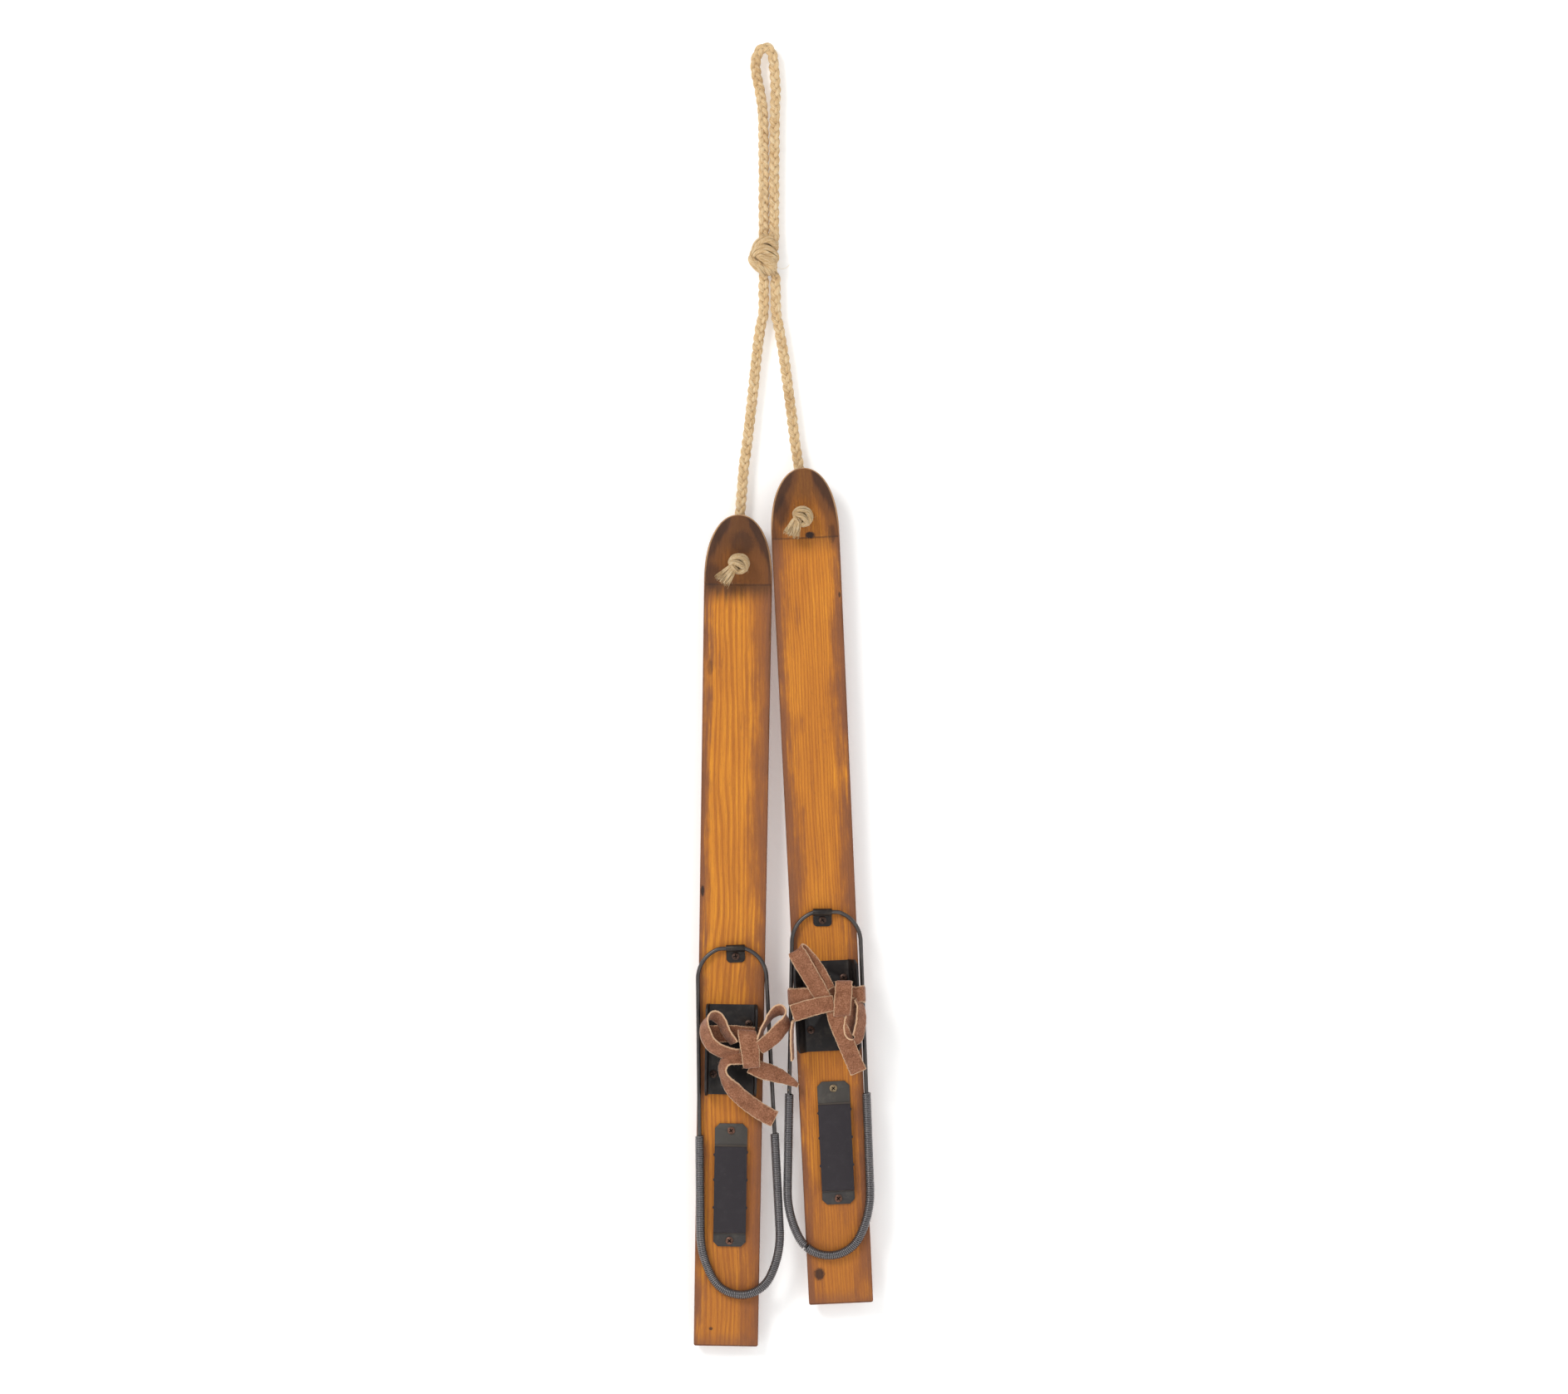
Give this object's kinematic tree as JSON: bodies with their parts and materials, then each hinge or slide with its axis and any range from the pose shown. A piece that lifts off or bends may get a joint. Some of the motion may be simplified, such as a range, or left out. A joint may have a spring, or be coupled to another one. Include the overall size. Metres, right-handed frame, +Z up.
{
  "type": "decorative ski pair",
  "caption": "Pair of small wooden skis with wire heel bails and tied suede laces, hanging from a knotted jute cord.",
  "frame": {"origin": "inside top of the cord's hanging loop, where the nail bears, at the cord's mid depth", "axes": "+Z up along the hanging skis, -Y towards the viewer out of the front faces, +X to the right seen from the front"},
  "size_m": [0.1302, 0.0535, 0.941],
  "materials": {
    "wood": "amber-stained pine under satin lacquer",
    "black_metal": "satin black",
    "coil": "dark oiled spring steel",
    "screw": "antique copper",
    "suede": "raw suede with pale cut edges",
    "jute": "braided jute",
    "pad": "matte"
  },
  "bodies": {
    "rope_hanger": {"rope_loop": "jute", "rope_knot": "jute"},
    "rope_leg_left": {"rope_leg_left": "jute", "stopper_knot_left": "jute"},
    "ski_left": {"ski_board_left": "wood", "toe_clip_left": "black_metal", "toe_clip_screw_left": "screw", "toe_iron_left": "black_metal", "toe_iron_screw_upper_left": "screw", "toe_iron_screw_lower_left": "screw", "heel_plate_left": "black_metal", "heel_riser_left": "pad", "heel_screw_upper_left": "screw", "heel_screw_lower_left": "screw", "lace_band_left": "suede", "lace_knot_left": "suede", "lace_bow_outer_left": "suede", "lace_bow_inner_left": "suede", "lace_tail_low_left": "suede", "lace_tail_side_left": "suede"},
    "bail_left": {"bail_wire_left": "black_metal", "coil_sleeve_left": "coil"},
    "rope_leg_right": {"rope_leg_right": "jute", "stopper_knot_right": "jute"},
    "ski_right": {"ski_board_right": "wood", "toe_clip_right": "black_metal", "toe_clip_screw_right": "screw", "toe_iron_right": "black_metal", "toe_iron_screw_upper_right": "screw", "toe_iron_screw_lower_right": "screw", "heel_plate_right": "black_metal", "heel_riser_right": "pad", "heel_screw_upper_right": "screw", "heel_screw_lower_right": "screw", "lace_band_right": "suede", "lace_front_right": "suede", "lace_knot_right": "suede", "lace_bow_upper_right": "suede", "lace_bow_lower_right": "suede", "lace_tail_low_right": "suede", "lace_tail_hang_right": "suede"},
    "bail_right": {"bail_wire_right": "black_metal", "coil_sleeve_right": "coil", "coil_sleeve_end_right": "coil"}
  },
  "joints": [
    {"name": "leg_swing_left", "type": "hinge", "parent": "rope_hanger", "child": "rope_leg_left", "pos_m": [-0.0014, 0.0044, -0.166], "axis": [0, 1, 0], "range_deg": [0, 25]},
    {"name": "ski_swing_left", "type": "hinge", "parent": "rope_leg_left", "child": "ski_left", "pos_m": [-0.02069, -0.006, -0.37068], "axis": [0, 1, 0], "range_deg": [0, 13]},
    {"name": "bail_lift_left", "type": "hinge", "parent": "ski_left", "child": "bail_left", "pos_m": [-0.02401, -0.0126, -0.64606], "axis": [-0.9995, 0, -0.0311], "range_deg": [0, 165], "deforming": ["lace_bow_outer_left", "lace_bow_inner_left", "lace_tail_low_left", "lace_tail_side_left"]},
    {"name": "leg_swing_right", "type": "hinge", "parent": "rope_hanger", "child": "rope_leg_right", "pos_m": [0.007, 0.0044, -0.166], "axis": [0, -1, 0], "range_deg": [0, 25]},
    {"name": "ski_swing_right", "type": "hinge", "parent": "rope_leg_right", "child": "ski_right", "pos_m": [0.02669, -0.006, -0.33723], "axis": [0, -1, 0], "range_deg": [0, 13]},
    {"name": "bail_lift_right", "type": "hinge", "parent": "ski_right", "child": "bail_right", "pos_m": [0.04274, -0.0126, -0.61999], "axis": [-1, 0, -0.0098], "range_deg": [0, 165], "deforming": ["lace_band_right", "lace_front_right", "lace_bow_upper_right", "lace_bow_lower_right", "lace_tail_low_right", "lace_tail_hang_right"]}
  ]
}
